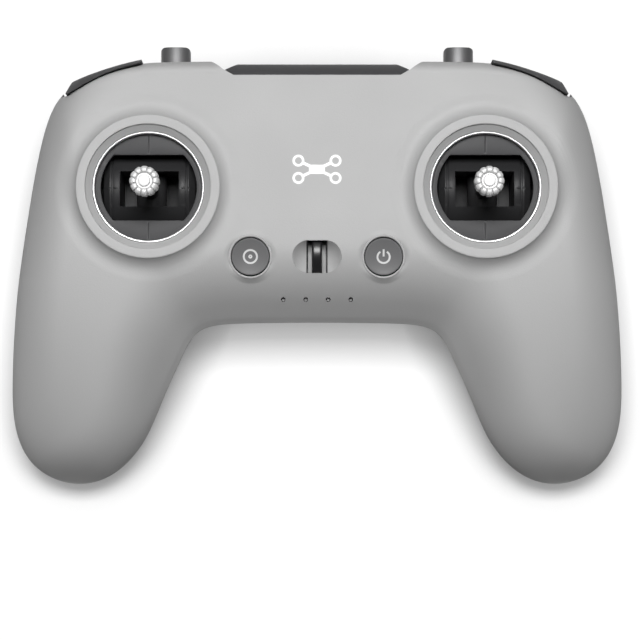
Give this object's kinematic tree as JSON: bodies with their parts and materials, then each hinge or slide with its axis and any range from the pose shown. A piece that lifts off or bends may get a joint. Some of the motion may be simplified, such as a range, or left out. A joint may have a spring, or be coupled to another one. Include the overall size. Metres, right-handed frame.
{
  "type": "radio transmitter controller",
  "caption": "Compact gamepad-style radio transmitter controller with two gimbal sticks, round buttons, shoulder controls and a folding antenna.",
  "frame": {"origin": "middle of the overall box, on the surface the controller rests on with its back down", "axes": "+Z out of the face with the sticks, +Y towards the top edge with the toggles and antenna, +X to the user's right"},
  "size_m": [0.1654, 0.119, 0.062],
  "materials": {
    "shell": "fine satin texture",
    "bezel": "satin",
    "trim": "bright",
    "dark": "satin",
    "black": "satin",
    "button": "satin",
    "stick": "satin anodised",
    "steel": "brushed",
    "board": "solder mask",
    "battery": "film wrap",
    "light_guide": "clear gloss"
  },
  "bodies": {
    "casing": {"front_shell": "shell", "rear_shell": "shell", "case_screw_1": "steel", "case_screw_2": "steel", "case_screw_3": "steel", "case_screw_4": "steel", "case_screw_5": "steel", "case_screw_6": "steel", "left_stick_bezel": "bezel", "left_trim_ring": "trim", "left_gimbal_cover": "dark", "left_gimbal_frame": "black", "left_centering_spring": "steel", "left_sensor_board": "board", "right_stick_bezel": "bezel", "right_trim_ring": "trim", "right_gimbal_cover": "dark", "right_gimbal_frame": "black", "right_centering_spring": "steel", "right_sensor_board": "board", "left_tact_switch": "black", "right_tact_switch": "black", "lanyard_cup": "bezel", "lanyard_bar": "black", "led_light_guide": "light_guide", "left_shoulder_insert": "dark", "left_toggle_switch": "black", "right_shoulder_insert": "dark", "right_toggle_switch": "black", "dial_axle": "steel", "record_tact_switch": "black", "left_antenna_pin": "steel", "right_antenna_pin": "steel", "main_board": "board", "radio_shield": "steel", "battery_pack": "battery", "battery_tray": "black", "usb_port": "steel", "left_stick_socket": "black", "right_stick_socket": "black"},
    "left_barrel": {"left_gimbal_barrel": "dark", "left_pivot_pin": "steel"},
    "left_stick": {"left_stick_post": "stick", "left_stick_cap": "stick"},
    "left_toggle": {"left_toggle_lever": "dark"},
    "right_barrel": {"right_gimbal_barrel": "dark", "right_pivot_pin": "steel"},
    "right_stick": {"right_stick_post": "stick", "right_stick_cap": "stick"},
    "right_toggle": {"right_toggle_lever": "dark"},
    "custom_button": {"custom_button": "button"},
    "power_button": {"power_button": "button"},
    "dial": {"dial_wheel": "black"},
    "record_button": {"record_button": "button"},
    "antenna": {"antenna_paddle": "black"}
  },
  "joints": [
    {"name": "left_stick_forward", "type": "hinge", "parent": "casing", "child": "left_barrel", "pos_m": [-0.0445, 0.019, 0.03], "axis": [1, 0, 0], "range_deg": [-25, 25], "stiffness_Nm_per_rad": 0.04},
    {"name": "left_stick_sideways", "type": "hinge", "parent": "left_barrel", "child": "left_stick", "pos_m": [-0.0445, 0.019, 0.03], "axis": [0, 1, 0], "range_deg": [-25, 25], "stiffness_Nm_per_rad": 0.04},
    {"name": "right_stick_forward", "type": "hinge", "parent": "casing", "child": "right_barrel", "pos_m": [0.0445, 0.019, 0.03], "axis": [1, 0, 0], "range_deg": [-25, 25], "stiffness_Nm_per_rad": 0.04},
    {"name": "right_stick_sideways", "type": "hinge", "parent": "right_barrel", "child": "right_stick", "pos_m": [0.0445, 0.019, 0.03], "axis": [0, 1, 0], "range_deg": [-25, 25], "stiffness_Nm_per_rad": 0.04},
    {"name": "left_toggle_tilt", "type": "hinge", "parent": "casing", "child": "left_toggle", "pos_m": [-0.0385, 0.047, 0.024], "axis": [1, 0, 0], "range_deg": [-15, 15]},
    {"name": "right_toggle_tilt", "type": "hinge", "parent": "casing", "child": "right_toggle", "pos_m": [0.0385, 0.047, 0.024], "axis": [1, 0, 0], "range_deg": [-15, 15]},
    {"name": "custom_button_press", "type": "slide", "parent": "casing", "child": "custom_button", "axis": [0, 0.2588, -0.9659], "range_m": [0, 0.0008], "stiffness_N_per_m": 1500},
    {"name": "power_button_press", "type": "slide", "parent": "casing", "child": "power_button", "axis": [0, 0.2588, -0.9659], "range_m": [0, 0.0008], "stiffness_N_per_m": 1500},
    {"name": "record_button_press", "type": "slide", "parent": "casing", "child": "record_button", "axis": [-0.2756, -0.9613, 0], "range_m": [0, 0.0008], "stiffness_N_per_m": 1500},
    {"name": "dial_turn", "type": "hinge", "parent": "casing", "child": "dial", "pos_m": [-0.0565, 0.0448, 0.023], "axis": [0, 0, 1], "range_deg": [-30, 30], "stiffness_Nm_per_rad": 0.01},
    {"name": "antenna_fold", "type": "hinge", "parent": "casing", "child": "antenna", "pos_m": [0, 0.0514, 0.0074], "axis": [1, 0, 0], "range_deg": [0, 180]}
  ]
}
